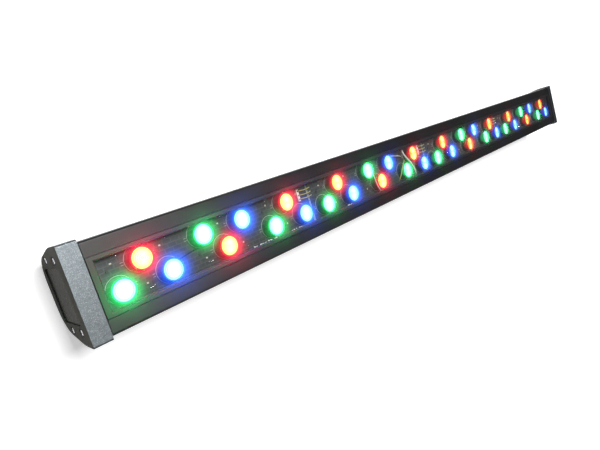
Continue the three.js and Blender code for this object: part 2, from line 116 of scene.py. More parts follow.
def ramp(nodes, links, source, stops):
    """stops are (position, colour) pairs, where a colour may be one grey number."""
    element = nodes.new("ShaderNodeValToRGB")
    links.new(source, element.inputs["Fac"])
    elements = element.color_ramp.elements
    while len(elements) < len(stops):
        elements.new(0.5)
    for item, (position, colour) in zip(elements, stops):
        item.position = position
        rgb = (colour,) * 3 if isinstance(colour, (int, float)) else tuple(colour)
        item.color = (*rgb, 1)
    return element.outputs["Color"]


def add_bump(nodes, links, shader, height, strength, distance):
    bump = nodes.new("ShaderNodeBump")
    bump.inputs["Strength"].default_value = strength
    bump.inputs["Distance"].default_value = distance
    links.new(height, bump.inputs["Height"])
    links.new(bump.outputs["Normal"], shader.inputs["Normal"])


def mixed(nodes, links, factor, low, high):
    mix = nodes.new("ShaderNodeMix")
    mix.data_type = "RGBA"
    links.new(factor, mix.inputs["Factor"])
    for socket, value in ((mix.inputs["A"], low), (mix.inputs["B"], high)):
        if isinstance(value, bpy.types.NodeSocket):
            links.new(value, socket)
        else:
            socket.default_value = (*value, 1)
    return mix.outputs["Result"]


def sum_of(nodes, links, operation, first, second):
    """One sum on two values, each a number or the output of another node."""
    node = nodes.new("ShaderNodeMath")
    node.operation = operation
    for socket, value in zip(node.inputs, (first, second)):
        if isinstance(value, bpy.types.NodeSocket):
            links.new(value, socket)
        else:
            socket.default_value = value
    return node.outputs["Value"]


def mixed_shader(nodes, links, factor, first, second):
    mix = nodes.new("ShaderNodeMixShader")
    for socket, value in zip(mix.inputs, (factor, first, second)):
        links.new(value, socket)
    return mix.outputs["Shader"]


def plain_finish(name, colour, roughness, metallic, grain, variation, bump):
    """A finish whose colour and roughness drift a little, with a fine grain."""
    material, nodes, links, shader = new_material(name)
    drift = noise(nodes, links, 35)
    dark = [channel * (1 - variation) for channel in colour]
    light = [min(1, channel * (1 + variation)) for channel in colour]
    links.new(ramp(nodes, links, drift, [(0.3, dark), (0.7, light)]), shader.inputs["Base Color"])
    fine = noise(nodes, links, grain)
    low, high = max(0.02, roughness - 0.06), min(1, roughness + 0.06)
    links.new(ramp(nodes, links, fine, [(0.3, low), (0.7, high)]), shader.inputs["Roughness"])
    shader.inputs["Metallic"].default_value = metallic
    add_bump(nodes, links, shader, fine, bump, 0.0002)
    return material


def black_coat(name, dark, light, specular):
    """Black powder coat: fine orange peel, with dust and faint rubs."""
    material, nodes, links, shader = new_material(name)
    blotch = noise(nodes, links, 14, 6)
    base = ramp(nodes, links, blotch, [(0.3, dark), (0.75, light)])
    dust = ramp(nodes, links, noise(nodes, links, 1500, 2), [(0.70, 0.0), (0.82, 1.0)])
    links.new(mixed(nodes, links, dust, base, (0.03, 0.03, 0.029)), shader.inputs["Base Color"])
    rubs = noise(nodes, links, 60, 5)
    links.new(ramp(nodes, links, rubs, [(0.3, 0.34), (0.7, 0.44)]), shader.inputs["Roughness"])
    shader.inputs["Specular IOR Level"].default_value = specular
    add_bump(nodes, links, shader, noise(nodes, links, 900, 3), 0.12, 0.0003)
    return material


def cap_paint():
    """Grey sand-texture paint with bright flecks in it."""
    material, nodes, links, shader = new_material("cap_paint")
    coordinates = object_coordinates(nodes)
    grit = nodes.new("ShaderNodeTexVoronoi")
    grit.inputs["Scale"].default_value = 2100
    links.new(coordinates, grit.inputs["Vector"])
    cell_grey = nodes.new("ShaderNodeSeparateColor")
    links.new(grit.outputs["Color"], cell_grey.inputs["Color"])
    blotch = noise(nodes, links, 420, 5, vector=coordinates)
    base = ramp(nodes, links, blotch, [(0.3, (0.064, 0.073, 0.078)), (0.7, (0.090, 0.101, 0.107))])
    fleck = ramp(nodes, links, cell_grey.outputs["Red"], [(0.72, 0.0), (1.0, 1.0)])
    links.new(mixed(nodes, links, fleck, base, (0.145, 0.162, 0.170)), shader.inputs["Base Color"])
    shader.inputs["Metallic"].default_value = 0.85
    links.new(ramp(nodes, links, fleck, [(0.0, 0.34), (1.0, 0.28)]), shader.inputs["Roughness"])
    add_bump(nodes, links, shader, noise(nodes, links, 1700, 3, vector=coordinates), 0.45, 0.0003)
    return material


def cap_end_paint_and_shade():
    """The smooth brown-black coat on the caps' end faces, worn to a haze in places: a darker copy of the
    cap's coat, painted shade for the end faces.
    """
    material, nodes, links, shader = new_material("cap_end_paint_and_shade")
    haze = noise(nodes, links, 28, 6)
    base = ramp(nodes, links, haze, [(0.3, (0.018, 0.0175, 0.012)), (0.75, (0.028, 0.027, 0.018))])
    links.new(base, shader.inputs["Base Color"])
    links.new(ramp(nodes, links, haze, [(0.3, 0.30), (0.75, 0.42)]), shader.inputs["Roughness"])
    shader.inputs["Specular IOR Level"].default_value = 0.005
    add_bump(nodes, links, shader, noise(nodes, links, 700, 3), 0.06, 0.0002)
    return material


def dark_gloss(name, colour, roughness, specular):
    """Glossy dark plastic with handling haze."""
    material, nodes, links, shader = new_material(name)
    shader.inputs["Specular IOR Level"].default_value = specular
    haze = noise(nodes, links, 45, 6)
    stops = [(0.35, colour), (0.8, [channel * 1.5 + 0.003 for channel in colour])]
    links.new(ramp(nodes, links, haze, stops), shader.inputs["Base Color"])
    rough = [(0.35, roughness), (0.8, roughness + 0.12)]
    links.new(ramp(nodes, links, haze, rough), shader.inputs["Roughness"])
    add_bump(nodes, links, shader, noise(nodes, links, 300, 2), 0.03, 0.0002)
    return material


def clear_sheet():
    """A polished clear pane with a little dust haze, thin enough that light goes straight through."""
    material, nodes, links, shader = new_material("window_clear")
    through = nodes.new("ShaderNodeBsdfTransparent")
    through.inputs["Color"].default_value = (0.97, 0.98, 0.975, 1)
    haze = nodes.new("ShaderNodeBsdfDiffuse")
    haze.inputs["Color"].default_value = (0.85, 0.88, 0.86, 1)
    gloss = nodes.new("ShaderNodeBsdfGlossy")
    smear = noise(nodes, links, 30, 5)
    links.new(ramp(nodes, links, smear, [(0.3, 0.10), (0.75, 0.2)]), gloss.inputs["Roughness"])
    dust = ramp(nodes, links, smear, [(0.3, 0.009), (0.75, 0.015)])
    dusty = mixed_shader(nodes, links, dust, through.outputs["BSDF"], haze.outputs["BSDF"])
    fresnel = nodes.new("ShaderNodeFresnel")
    fresnel.inputs["IOR"].default_value = 1.33
    side = nodes.new("ShaderNodeNewGeometry")
    entering = sum_of(nodes, links, "SUBTRACT", 1, side.outputs["Backfacing"])
    strength = sum_of(nodes, links, "MULTIPLY", fresnel.outputs["Fac"], entering)
    surface = mixed_shader(nodes, links, strength, dusty, gloss.outputs["BSDF"])
    links.new(surface, nodes["Material Output"].inputs["Surface"])
    nodes.remove(shader)
    return material


def board_mask():
    """Dark solder mask with faint tracks under it."""
    material, nodes, links, shader = new_material("circuit_board")
    coordinates = object_coordinates(nodes)
    tracks = nodes.new("ShaderNodeTexBrick")
    tracks.inputs["Scale"].default_value = 60
    tracks.inputs["Mortar Size"].default_value = 0.03
    tracks.inputs["Color1"].default_value = (0.030, 0.033, 0.037, 1)
    tracks.inputs["Color2"].default_value = (0.021, 0.024, 0.028, 1)
    tracks.inputs["Mortar"].default_value = (0.052, 0.056, 0.058, 1)
    links.new(coordinates, tracks.inputs["Vector"])
    speck = ramp(nodes, links, noise(nodes, links, 500, 3, vector=coordinates), [(0.45, 0.0), (0.8, 0.6)])
    colour = mixed(nodes, links, speck, tracks.outputs["Color"], (0.066, 0.070, 0.075))
    links.new(colour, shader.inputs["Base Color"])
    rough = ramp(nodes, links, noise(nodes, links, 90), [(0.3, 0.32), (0.7, 0.45)])
    links.new(rough, shader.inputs["Roughness"])
    add_bump(nodes, links, shader, tracks.outputs["Fac"], 0.15, 0.0002)
    return material


# The light of each colour from a lens's front steps, from the ridges between them, and from its
# outside, each from the middle of the lens outwards.
GLOW = {
    "red": {"steps": ((9, 5, 1.1), (7, 1.5, 0.3)), "side": (0.55, 0.008, 0.012),
            "ridges": ((1.1, 0.78, 0.03), (1.0, 0.34, 0.02), (1.2, 0.09, 0.03))},
    "green": {"steps": ((1.8, 8, 6), (0.8, 6, 2.8)), "side": (0.006, 0.36, 0.09),
              "ridges": ((0.62, 0.95, 0.88), (0.18, 0.75, 0.5), (0.05, 1.0, 0.32))},
    "blue": {"steps": ((1.9, 4.5, 8), (0.6, 1.3, 6)), "side": (0.006, 0.05, 0.65),
             "ridges": ((0.38, 0.82, 0.95), (0.10, 0.40, 0.85), (0.05, 0.24, 1.4))},
}


def glowing(name, tone):
    """Clear plastic full of light; returns the material, its parts and its place in metres."""
    material, nodes, links, shader = new_material(name)
    shader.inputs["Base Color"].default_value = (0.02, 0.02, 0.02, 1)
    shader.inputs["Roughness"].default_value = 0.12
    shader.inputs["Specular IOR Level"].default_value = 0.3
    shader.inputs["Emission Strength"].default_value = max(tone)
    place = nodes.new("ShaderNodeSeparateXYZ")
    links.new(object_coordinates(nodes), place.inputs["Vector"])
    return material, nodes, links, shader, place


def part_of(tone, share=1.0):
    return [share * channel / max(tone) for channel in tone]


def radius_squared(nodes, links, place):
    """How far out a point of a lens is: 0 in the middle and 1 at the rim, squared."""
    x, y = place.outputs["X"], place.outputs["Y"]
    squares = [sum_of(nodes, links, "MULTIPLY", value, value) for value in (x, y)]
    spread = nodes.new("ShaderNodeMapRange")
    spread.inputs["From Max"].default_value = LENS_RADIUS ** 2
    links.new(sum_of(nodes, links, "ADD", *squares), spread.inputs["Value"])
    return spread.outputs["Result"]


def glow_front(part, colour):
    """The steps or the ridges of a lit lens's front, whitest in the middle."""
    tones = GLOW[colour][part]
    peak = max(max(tone) for tone in tones)
    material, nodes, links, shader, place = glowing(f"glow_{part}_{colour}", (peak,))
    scaled = [[channel / peak for channel in tone] for tone in tones]
    stops = [(0.0, scaled[0]), (0.1, scaled[0]), (0.62, scaled[1])]
    if len(scaled) > 2:
        stops.append((0.8, scaled[2]))
    tone = ramp(nodes, links, radius_squared(nodes, links, place), stops)
    links.new(tone, shader.inputs["Emission Color"])
    return material


def glow_side(colour):
    """The outside of a lit lens, fading towards its foot."""
    tone = GLOW[colour]["side"]
    material, nodes, links, shader, place = glowing(f"glow_side_{colour}", tone)
    height = nodes.new("ShaderNodeMapRange")
    links.new(place.outputs["Z"], height.inputs["Value"])
    height.inputs["From Min"].default_value = -LENS_HEIGHT
    height.inputs["From Max"].default_value = 0
    stops = [(0.0, part_of(tone, 0.35)), (0.7, part_of(tone, 0.9)), (1.0, part_of(tone))]
    links.new(ramp(nodes, links, height.outputs["Result"], stops), shader.inputs["Emission Color"])
    return material


# Each plain finish: its colour, roughness, metal share, grain, variation and bump.
PLAIN_FINISHES = {
    "seal_rubber": ((0.012, 0.012, 0.012), 0.7, 0, 600, 0.3, 0.15),
    "board_print": ((0.42, 0.43, 0.42), 0.6, 0, 900, 0.15, 0.1),
    "sealant_white": ((0.72, 0.73, 0.72), 0.5, 0, 900, 0.15, 0.1),
    "solder": ((0.80, 0.80, 0.82), 0.22, 1, 700, 0.12, 0.06),
    "chip_body": ((0.02, 0.02, 0.022), 0.5, 0, 900, 0.3, 0.1),
    "chip_ceramic": ((0.55, 0.50, 0.42), 0.5, 0, 900, 0.2, 0.1),
    "header_plastic": ((0.72, 0.70, 0.64), 0.45, 0, 900, 0.1, 0.05),
    "wire_cream": ((0.72, 0.66, 0.63), 0.45, 0, 900, 0.12, 0.05),
    "wire_yellow": ((0.50, 0.42, 0.12), 0.45, 0, 900, 0.12, 0.05),
    "lead_grey": ((0.06, 0.06, 0.065), 0.55, 0, 900, 0.2, 0.1),
    "bare_aluminium": ((0.60, 0.61, 0.63), 0.35, 1, 500, 0.12, 0.06),
    "socket_metal": ((0.66, 0.65, 0.63), 0.2, 1, 700, 0.12, 0.06),
    "digit_red": ((0.20, 0.012, 0.012), 0.35, 0, 800, 0.2, 0.05),
    "button_plastic": ((0.035, 0.035, 0.038), 0.5, 0, 800, 0.2, 0.1),
    "screw_steel": ((0.78, 0.78, 0.80), 0.24, 1, 700, 0.12, 0.06),
}
# Each glossy dark plastic: its colour, roughness and specular level.
DARK_GLOSSES = {
    "panel_black": ((0.022, 0.0215, 0.017), 0.2, 0.005),
    "socket_black": ((0.013, 0.013, 0.014), 0.3, 0.5),
    "inlet_plastic": ((0.012, 0.045, 0.18), 0.3, 0.5),
    "display_dark": ((0.035, 0.004, 0.004), 0.08, 0.5),
}


def make_materials():
    made = {
        "housing_paint": black_coat("housing_paint", 0.006, 0.010, 0.28),
        # the lip's coat is a lighter, glossier copy of the housing coat: a painted highlight along the
        # window's lip
        "lip_coat_painted_highlight": black_coat("lip_coat_painted_highlight", 0.011, 0.017, 0.5),
        "cap_paint": cap_paint(),
        # the end coat is a darker copy of the cap coat: painted shade on the caps' end faces
        "cap_end_paint_and_shade": cap_end_paint_and_shade(),
        "window_clear": clear_sheet(),
        "circuit_board": board_mask(),
    }
    for name, look in PLAIN_FINISHES.items():
        made[name] = plain_finish(name, *look)
    for name, look in DARK_GLOSSES.items():
        made[name] = dark_gloss(name, *look)
    for colour in COLOURS:
        for part in ("steps", "ridges"):
            made[f"glow_{part}_{colour}"] = glow_front(part, colour)
        made[f"glow_side_{colour}"] = glow_side(colour)
    return made


materials = make_materials()


# ---------------------------------------- making pieces
def new_object(name, mesh):
    piece = bpy.data.objects.new(name, mesh)
    bpy.context.scene.collection.objects.link(piece)
    return piece


def mesh_from(name, vertices, faces):
    mesh = bpy.data.meshes.new(name)
    mesh.from_pydata([tuple(v) for v in vertices], [], faces)
    mesh.validate()
    solid = bmesh.new()
    solid.from_mesh(mesh)
    bmesh.ops.remove_doubles(solid, verts=solid.verts, dist=1e-7)
    bmesh.ops.recalc_face_normals(solid, faces=solid.faces)
    solid.to_mesh(mesh)
    solid.free()
    return mesh


def smooth(mesh, degrees=32):
    mesh.shade_smooth()
    mesh.set_sharp_from_angle(angle=math.radians(degrees))


def soften(piece, width, segments=2):
    """Rounds a piece's sharp edges."""
    bevel = piece.modifiers.new("soft_edges", "BEVEL")
    bevel.width = width
    bevel.segments = segments
    bevel.limit_method = "ANGLE"
    bevel.angle_limit = math.radians(34)
    bevel.harden_normals = False
    weighted = piece.modifiers.new("weighted_normals", "WEIGHTED_NORMAL")
    weighted.keep_sharp = True


def dress(piece, material_names, replaced=(), body=BATTEN):
    """Gives a new piece its materials and its body, and hides the CAD nodes that it stands for."""
    names = [material_names] if isinstance(material_names, str) else material_names
    for name in names:
        piece.data.materials.append(materials[name])
    if replaced:
        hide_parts(*replaced)
    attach(piece, body)
    return piece


def prism(name, loops, span):
    """A Y-Z outline with holes, run along X: loops are lists of (y, z), the outer one first."""
    flat = [point for loop in loops for point in loop]
    count = len(flat)
    vertices = [(x, y, z) for x in span for y, z in flat]
    triangles = tessellate_polygon([[Vector((y, z, 0)) for y, z in loop] for loop in loops])
    faces = [tuple(triangle) for triangle in triangles]
    faces += [tuple(index + count for index in reversed(triangle)) for triangle in triangles]
    start = 0
    for loop in loops:
        size = len(loop)
        for index in range(size):
            here, there = start + index, start + (index + 1) % size
            faces.append((here, there, there + count, here + count))
        start += size
    return mesh_from(name, vertices, faces)


def to_metres(profile):
    return [(radius * MM, height * MM) for radius, height in profile]


def turned(name, profile, steps, closed=False):
    """A profile of (radius, height) points turned about Z; a closed one joins up at its ends."""
    vertices, rings = [], []
    for radius, height in profile:
        if radius < 1e-9:
            rings.append([len(vertices)] * steps)
            vertices.append((0, 0, height))
            continue
        rings.append(list(range(len(vertices), len(vertices) + steps)))
        for step in range(steps):
            angle = TAU * step / steps
            vertices.append((radius * math.cos(angle), radius * math.sin(angle), height))
    faces = []
    pairs = list(zip(rings, rings[1:] + rings[:1] if closed else rings[1:]))
    for low, high in pairs:
        for step in range(steps):
            there = (step + 1) % steps
            corners = [low[step], low[there], high[there], high[step]]
            unique = list(dict.fromkeys(corners))
            if len(unique) > 2:
                faces.append(tuple(unique))
    return mesh_from(name, vertices, faces)


def along_x(mesh, x, y, z):
    """Lays a mesh that was turned about Z along +X at a place."""
    mesh.transform(Matrix.Translation((x, y, z)) @ Matrix.Rotation(math.pi / 2, 4, "Y"))
    return mesh


def combine(piece, tool_mesh, operation="DIFFERENCE"):
    """Cuts a closed tool mesh out of a piece, or joins it on."""
    tool = new_object("tool", tool_mesh)
    step = piece.modifiers.new("step", "BOOLEAN")
    step.operation = operation
    step.solver = "EXACT"
    step.object = tool
    bpy.context.view_layer.update()
    evaluated = piece.evaluated_get(bpy.context.evaluated_depsgraph_get())
    mesh = bpy.data.meshes.new_from_object(evaluated)
    piece.modifiers.remove(step)
    old = piece.data
    piece.data = mesh
    bpy.data.meshes.remove(old)
    bpy.data.objects.remove(tool)


def circle(y, z, radius, steps=32):
    return [(y + radius * math.cos(TAU * i / steps), z + radius * math.sin(TAU * i / steps))
            for i in range(steps)]


def arc(y, z, radius, start, end, steps=8):
    angles = [start + (end - start) * i / steps for i in range(steps + 1)]
    return [(y + radius * math.cos(angle), z + radius * math.sin(angle)) for angle in angles]


def rounded_rectangle(low, high, radius, steps=6):
    """Corners low and high are (y, z)."""
    quarter = math.pi / 2
    loop = arc(high[0] - radius, high[1] - radius, radius, 0, quarter, steps)
    loop += arc(low[0] + radius, high[1] - radius, radius, quarter, 2 * quarter, steps)
    loop += arc(low[0] + radius, low[1] + radius, radius, 2 * quarter, 3 * quarter, steps)
    return loop + arc(high[0] - radius, low[1] + radius, radius, 3 * quarter, 4 * quarter, steps)


def finish_node(node, material, width=0.0, rounds=0):
    """Dresses a CAD node as it stands: its material, softened edges or a smoothed tube."""
    piece = frame["nodes"][node]
    for slot in piece.material_slots:
        slot.material = materials[material]
    if not piece.material_slots:
        piece.data.materials.append(materials[material])
    weld = piece.modifiers.new("weld", "WELD")
    weld.merge_threshold = 0.002 * MM
    if rounds:
        rounded = piece.modifiers.new("rounded", "SUBSURF")
        rounded.levels = rounded.render_levels = rounds
    if width:
        flat = piece.modifiers.new("flat_faces", "DECIMATE")
        flat.decimate_type = "DISSOLVE"
        flat.angle_limit = math.radians(0.5)
        soften(piece, width)


# ---------------------------------------- the D-shaped section
def bezier(p0, p1, p2, p3, steps):
    points = []
    for index in range(steps + 1):
        t = index / steps
        weights = ((1 - t) ** 3, 3 * t * (1 - t) ** 2, 3 * t * t * (1 - t), t ** 3)
        points.append(tuple(sum(w * p[axis] for w, p in zip(weights, (p0, p1, p2, p3)))
                            for axis in (0, 1)))
    return points


# The caps' outline in millimetres, from the middle of the back round one side, as two curves.
BACK_CURVE = ((10, 0), (23, 0), (33, 8.5), (35.4, 21))
SIDE_CURVE = ((35.4, 21), (36.8, 30), (41.7, 46), (41.7, 58))


def d_section(inset, front, corner, steps=20):
    """The caps' outline shrunk by inset, closed by a flat front with rounded corners."""
    path = [(0, 0)] + bezier(*BACK_CURVE, steps) + bezier(*SIDE_CURVE, steps)[1:]
    shrunk = []
    for index, (y, z) in enumerate(path):
        before = path[max(index - 1, 0)]
        after = path[min(index + 1, len(path) - 1)]
        along = Vector((after[0] - before[0], after[1] - before[1])).normalized()
        shrunk.append((y - along.y * inset, z + along.x * inset))
    centre = SIDE_CURVE[-1][0] - inset - corner
    right = shrunk + arc(centre, front - corner, corner, 0, math.pi / 2, 6)
    left = [(-y, z) for y, z in reversed(right[1:])]
    return [(y * MM, z * MM) for y, z in right + left]


# ---------------------------------------- housing, caps and screws
SCREW_PLACES = [(middle(f"cap_screw_far_{n}").y, middle(f"cap_screw_far_{n}").z) for n in (1, 2, 3, 4)]
HOUSING_HALF_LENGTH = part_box("housing_extrusion")[1].x
HOUSING_INSET = 2.4
WALL = 2.6
SHELF_BOTTOM = 52.2 * MM
# The channels that run through the housing in millimetres: their sides, bottom and top.
CHANNELS = {
    "light_bay": (-27, 27, 56.2, 66.4),
    "window_opening": (-22.8, 22.8, 65, 80),
    "pane_seat": (-25.7, 25.7, 68.6, 80),
    "left_bay": (29.2, 36, 59, 70.2),
    "right_bay": (-36, -29.2, 59, 70.2),
}
PAST = 5 * MM  # how far a cutting tool runs past the face that it cuts
POCKET_FLOOR = CAP_OUTER - 2.4 * MM
PLATE_LOW, PLATE_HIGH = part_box("blank_plate_near")
PLATE_GAP = 0.3 * MM
COUNTERBORE = 4 * MM  # this and the next two are radii
SCREW_HOLE = 1.9 * MM
SCREW_PORT = 1.6 * MM
DIMPLE_PLACE = (22.5 * MM, 5.4 * MM)  # a dimple on each side of the caps' end faces


def below(points, height):
    """The part of a closed Y-Z outline under a height."""
    kept = []
    for here, there in zip(points, points[1:] + points[:1]):
        if here[1] <= height:
            kept.append(here)
        if (here[1] <= height) != (there[1] <= height):
            share = (height - here[1]) / (there[1] - here[1])
            kept.append((here[0] + share * (there[0] - here[0]), height))
    return kept


def rectangle(left, right, bottom, top):
    """A Y-Z outline in metres, from sides and heights in millimetres."""
    return [(left * MM, bottom * MM), (right * MM, bottom * MM),
            (right * MM, top * MM), (left * MM, top * MM)]


def make_housing():
    """The extrusion: a channel for the window, a light bay, side bays and a hollow below the shelf."""
    ends = (-HOUSING_HALF_LENGTH, HOUSING_HALF_LENGTH)
    through = (ends[0] - PAST, ends[1] + PAST)
    outline = d_section(HOUSING_INSET, SHOULDER / MM, 2.4)
    piece = new_object("housing", prism("housing", [outline], ends))
    hollow = below(d_section(HOUSING_INSET + WALL, SHOULDER / MM, 1), SHELF_BOTTOM)
    for tool in [hollow] + [rectangle(*sides) for sides in CHANNELS.values()]:
        combine(piece, prism("tool", [tool], through))
    for y, z in SCREW_PLACES:
        reach = 3.3 * MM if z < SHELF_BOTTOM else 1.9 * MM  # the lower bosses are the larger
        combine(piece, prism("boss", [circle(y, z, reach, 24)], ends), "UNION")
        combine(piece, prism("port", [circle(y, z, SCREW_PORT, 20)], through))
    smooth(piece.data)
    soften(piece, 0.35 * MM)
    dress(piece, "housing_paint", ["housing_extrusion"])


def make_cap(name, node, turn):
    """A cast cap with a pocket in its end face and a counterbore for each screw."""
    outline = d_section(0, CAP_FRONT / MM, 1.8)
    piece = new_object(name, prism(name, [outline], (CAP_INNER, CAP_OUTER)))
    outside = CAP_OUTER + PAST
    inside = CAP_INNER - PAST
    low = (PLATE_LOW.y - PLATE_GAP, PLATE_LOW.z - PLATE_GAP)
    high = (PLATE_HIGH.y + PLATE_GAP, PLATE_HIGH.z + PLATE_GAP)
    pocket = rounded_rectangle(low, high, 3.3 * MM)
    passage = rounded_rectangle((-22.4 * MM, 12.8 * MM), (22.4 * MM, 59.4 * MM), 2.5 * MM)
    tools = [(pocket, POCKET_FLOOR), (passage, inside)]
    for y, z in SCREW_PLACES:
        tools.append((circle(y, z, COUNTERBORE), POCKET_FLOOR))
        tools.append((circle(y, z, SCREW_HOLE, 16), inside))
    for side in (-1, 1):
        dimple = circle(side * DIMPLE_PLACE[0], DIMPLE_PLACE[1], 1.1 * MM, 16)
        tools.append((dimple, CAP_OUTER - 1.2 * MM))
    for tool, start in tools:
        combine(piece, prism("tool", [tool], (start, outside)))
    # the faces looking out of each end get the darker end coat: painted shade on the end faces
    for polygon in piece.data.polygons:
        polygon.material_index = 1 if polygon.normal.x > 0.9 else 0
    piece.data.transform(Matrix.Rotation(turn, 4, "Z"))
    smooth(piece.data)
    soften(piece, 0.6 * MM, 3)
    return dress(piece, ["cap_paint", "cap_end_paint_and_shade"], [node])


def screw_mesh():
    """A pan head with a cross recess, its axis along +X and the underside of its head at x = 0."""
    radius, height, rim = 3.2, 2.05, 0.7
    crown = []
    for step in range(7):
        angle = math.pi / 2 * step / 7
        crown.append((radius * math.cos(angle) ** 0.6, rim + (height - rim) * math.sin(angle)))
    shank = [(0, -24), (1.4, -23.2), (1.4, 0), (radius - 0.15, 0), (radius, 0.15)]
    profile = to_metres(shank + crown + [(0, height)])
    piece = new_object("screw_blank", along_x(turned("screw", profile, 36), 0, 0, 0))
    recess = ((height - 1.15) * MM, (height + 1) * MM)
    for wide, tall in ((0.85, 3.6), (3.6, 0.85)):
        slot = rectangle(-wide / 2, wide / 2, -tall / 2, tall / 2)
        combine(piece, prism("recess", [slot], recess))
    mesh = piece.data.copy()
    bpy.data.objects.remove(piece)
    smooth(mesh, 40)
    mesh.materials.clear()
    mesh.materials.append(materials["screw_steel"])
    return mesh


SCREW_SEAT = 2.1 * MM  # from the top of the CAD screw's head to its underside


def make_screws():
    mesh = screw_mesh()
    rng = random.Random(5)
    for end, sign in (("near", -1), ("far", 1)):
        for number in (1, 2, 3, 4):
            node = f"cap_screw_{end}_{number}"
            low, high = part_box(node)
            piece = new_object(f"screw_{end}_{number}", mesh)
            seat = (high.x if sign > 0 else -low.x) - SCREW_SEAT
            turn = Matrix.Rotation(0 if sign > 0 else math.pi, 4, "Z")
            spin = Matrix.Rotation(rng.uniform(0, math.pi), 4, "X")
            centre = middle(node)
            piece.matrix_world = Matrix.Translation((sign * seat, centre.y, centre.z)) @ turn @ spin
            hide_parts(node)
            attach(piece, BATTEN)


# ---------------------------------------- lights
# A lens's front in millimetres: its rim, its ridges, and the heights of the steps and crests.
LENS_RIM = 10.3
RIDGE_RADII = (7.55, 5.95, 4.35, 2.75, 1.15)
STEP = -0.95
CREST = -0.05


def lens_mesh():
    """One lens about Z, its front at z = 0: an outer cone, a rim, and a front of ridged steps."""
    foot = -LENS_HEIGHT / MM
    outside = [(0, foot), (5.5, foot), (6.3, -7.8), (8.5, -4.3), (10.15, -1.7), (10.5, -1.3),
               (10.5, -0.25), (LENS_RIM, 0), (9.2, 0)]
    front = []
    for radius in RIDGE_RADII:
        outer = radius + 1.5
        front += [(outer, STEP), (radius + 0.1, STEP), (radius, CREST), (radius - 0.18, CREST)]
    front += [(0.9, STEP), (0, STEP + 0.05)]
    mesh = turned("led_lens", to_metres(outside + front), 48)
    for polygon in mesh.polygons:
        radius = math.hypot(polygon.center.x, polygon.center.y)
        in_front = polygon.center.z > (STEP - 0.1) * MM and radius < LENS_RIM * MM
        flat = polygon.normal.z > 0.85 and polygon.center.z < (STEP + CREST) / 2 * MM
        polygon.material_index = (2 if flat else 1) if in_front else 0
    smooth(mesh, 30)
    return mesh


def make_lenses():
    shape = lens_mesh()
    for number, colour, x, y in light_places():
        piece = new_object(f"led_lens_{number:02d}", shape.copy())
        piece.location = (x, y, LENS_FRONT)
        dress(piece, [f"glow_side_{colour}", f"glow_ridges_{colour}", f"glow_steps_{colour}"],
              [f"lens_trio_{(number - 1) // 3 + 1:02d}"])


# The colour of each light's glow, its power on the pane and its power on the frame.
SPILL = {
    "red": ((1, 0.002, 0.04), 1.6, 0.22),
    "green": ((0.01, 1, 0.18), 0.95, 0.15),
    "blue": ((0.01, 0.11, 1), 2.0, 0.26),
}
SPILL_LAMP_RADIUS = 2 * MM
SPILL_CONE = math.radians(132)
ABOVE_PANE = PANE_TOP + 11 * MM
ABOVE_FRAME = 82 * MM


def receivers(name, nodes):
    """A collection of what a set of scene lights falls on."""
    group = bpy.data.collections.new(name)
    for piece in nodes:
        group.objects.link(piece)
    return group


def add_spill(kind, group, colour, power, place):
    """One scene light above the window that lights only a group, and doesn't show itself."""
    data = bpy.data.lights.new("spill", kind)
    data.color, data.energy = colour, power
    data.shadow_soft_size = SPILL_LAMP_RADIUS
    if kind == "SPOT":
        data.spot_size = SPILL_CONE
        data.spot_blend = 1.0
    lamp = bpy.data.objects.new("spill", data)
    lamp.location = place
    lamp.visible_glossy = False
    lamp.visible_camera = False
    lamp.light_linking.receiver_collection = group
    bpy.context.scene.collection.objects.link(lamp)


def make_spill_lights():
    """Scene lights for each light's glow on the dusty pane, and on the frame round the window."""
    nodes = frame["nodes"]
    pane = receivers("lit_pane", [nodes["window_pane"]])
    lit = [nodes[name] for name in ("window_bezel", "window_seal")]
    surround = receivers("lit_frame", [bpy.data.objects["housing"]] + lit)
    for _, colour, x, y in light_places():
        tone, on_pane, on_frame = SPILL[colour]
        near = 0.5 - x  # the glow is stronger at the near end
        pane_power = on_pane * (0.17 + 0.83 * near ** 1.6)
        frame_power = on_frame * (0.1 + 3.6 * near ** 3)
        add_spill("SPOT", pane, tone, pane_power, (x, y, ABOVE_PANE))
        add_spill("POINT", surround, tone, frame_power, (x, y, ABOVE_FRAME))


# ---------------------------------------- what is on the light boards
def joined(name, parts):
    """One mesh from (mesh, place) pairs; the meshes are used up."""
    whole = bmesh.new()
    for mesh, place in parts:
        mesh.transform(place)
        whole.from_mesh(mesh)
        bpy.data.meshes.remove(mesh)
    made = bpy.data.meshes.new(name)
    whole.to_mesh(made)
    whole.free()
    return made


def block(size, height, name="block"):
    """A box with chamfered upper edges, standing on z = 0."""
    half = Vector((size[0] / 2, size[1] / 2))
    chamfer = min(size[0], size[1], height) * 0.18
    levels = [(0, 0), (height - chamfer, 0), (height, chamfer)]
    vertices = []
    for z, shrink in levels:
        x, y = half.x - shrink, half.y - shrink
        vertices += [(-x, -y, z), (x, -y, z), (x, y, z), (-x, y, z)]
    faces = [(3, 2, 1, 0), (8, 9, 10, 11)]
    for level in (0, 4):
        for side in range(4):
            there = (side + 1) % 4
            faces.append((level + side, level + there, level + there + 4, level + side + 4))
    return mesh_from(name, vertices, faces)


def dome(radius, height):
    """A blob of solder standing on z = 0."""
    profile = [(0, 0), (radius, 0), (radius * 0.92, height * 0.45), (radius * 0.6, height * 0.85),
               (0, height)]
    return turned("dome", profile, 10)


def ring(radius, width, height):
    profile = [(radius - width / 2, 0), (radius + width / 2, 0), (radius + width / 2, height),
               (radius - width / 2, height)]
    return turned("ring", profile, 64, closed=True)


def at(x, y, z=0.0, turn=0.0):
    return Matrix.Translation((x, y, z)) @ Matrix.Rotation(turn, 4, "Z")


PRINT_HEIGHT = 0.04 * MM


